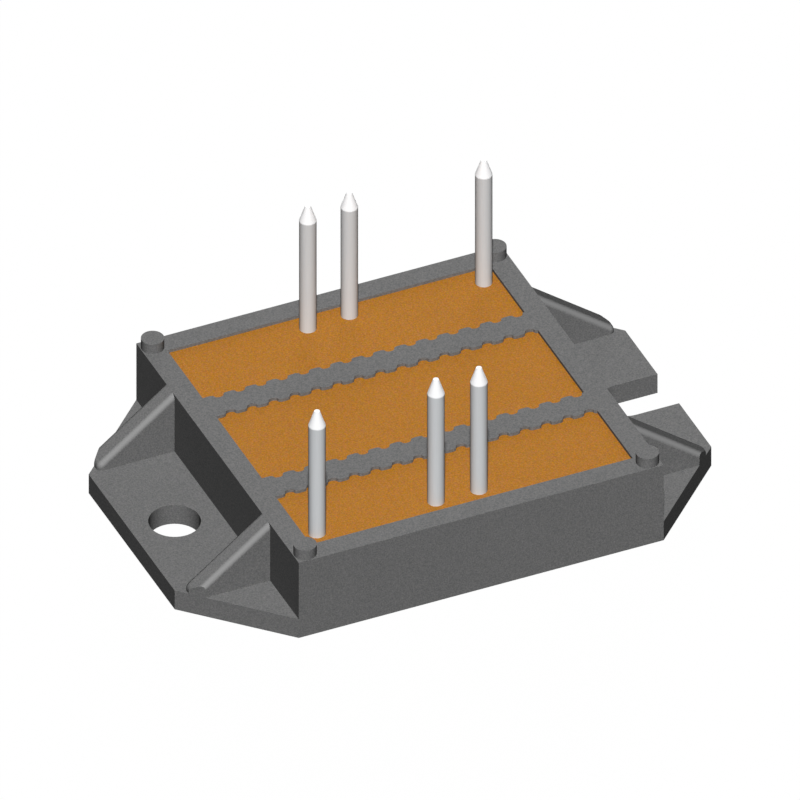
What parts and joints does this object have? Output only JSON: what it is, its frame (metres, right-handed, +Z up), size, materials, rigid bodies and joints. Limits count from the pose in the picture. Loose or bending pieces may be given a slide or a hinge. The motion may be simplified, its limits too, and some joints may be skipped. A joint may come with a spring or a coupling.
{
  "type": "bridge rectifier",
  "caption": "Potted bridge rectifier module: square plastic frame with ribbed screw flanges and upright round solder pins, turning alternating current into direct current.",
  "frame": {"origin": "middle of the square body, on the mounting face", "axes": "+Z up the pins, away from the heat sink; +X from the flange with the round hole to the flange with the open slot; +Y to the row with the pair of pins and the right corner pin"},
  "size_m": [0.05, 0.034, 0.0207],
  "materials": {
    "housing_plastic": "matte",
    "potting": "satin",
    "pin_metal": "satin",
    "copper": "satin",
    "ceramic": "matte",
    "silicon": "gloss",
    "solder": "satin",
    "aluminium": "satin",
    "adhesive": "matte"
  },
  "bodies": {
    "root": {"housing": "housing_plastic", "potting_compound": "potting", "sealing_adhesive": "adhesive", "base_copper": "copper", "ceramic_plate": "ceramic", "track_plus": "copper", "track_minus": "copper", "track_ac_left": "copper", "track_ac_right": "copper", "die_1": "silicon", "die_solder_1": "solder", "ribbon_1": "aluminium", "die_2": "silicon", "die_solder_2": "solder", "ribbon_2": "aluminium", "die_3": "silicon", "die_solder_3": "solder", "ribbon_3": "aluminium", "die_4": "silicon", "die_solder_4": "solder", "ribbon_4": "aluminium", "pin_back_left": "pin_metal", "pin_solder_back_left": "solder", "pin_back_middle": "pin_metal", "pin_solder_back_middle": "solder", "pin_back_right": "pin_metal", "pin_solder_back_right": "solder", "pin_front_left": "pin_metal", "pin_solder_front_left": "solder", "pin_front_middle": "pin_metal", "pin_solder_front_middle": "solder", "pin_front_right": "pin_metal", "pin_solder_front_right": "solder"}
  },
  "joints": []
}
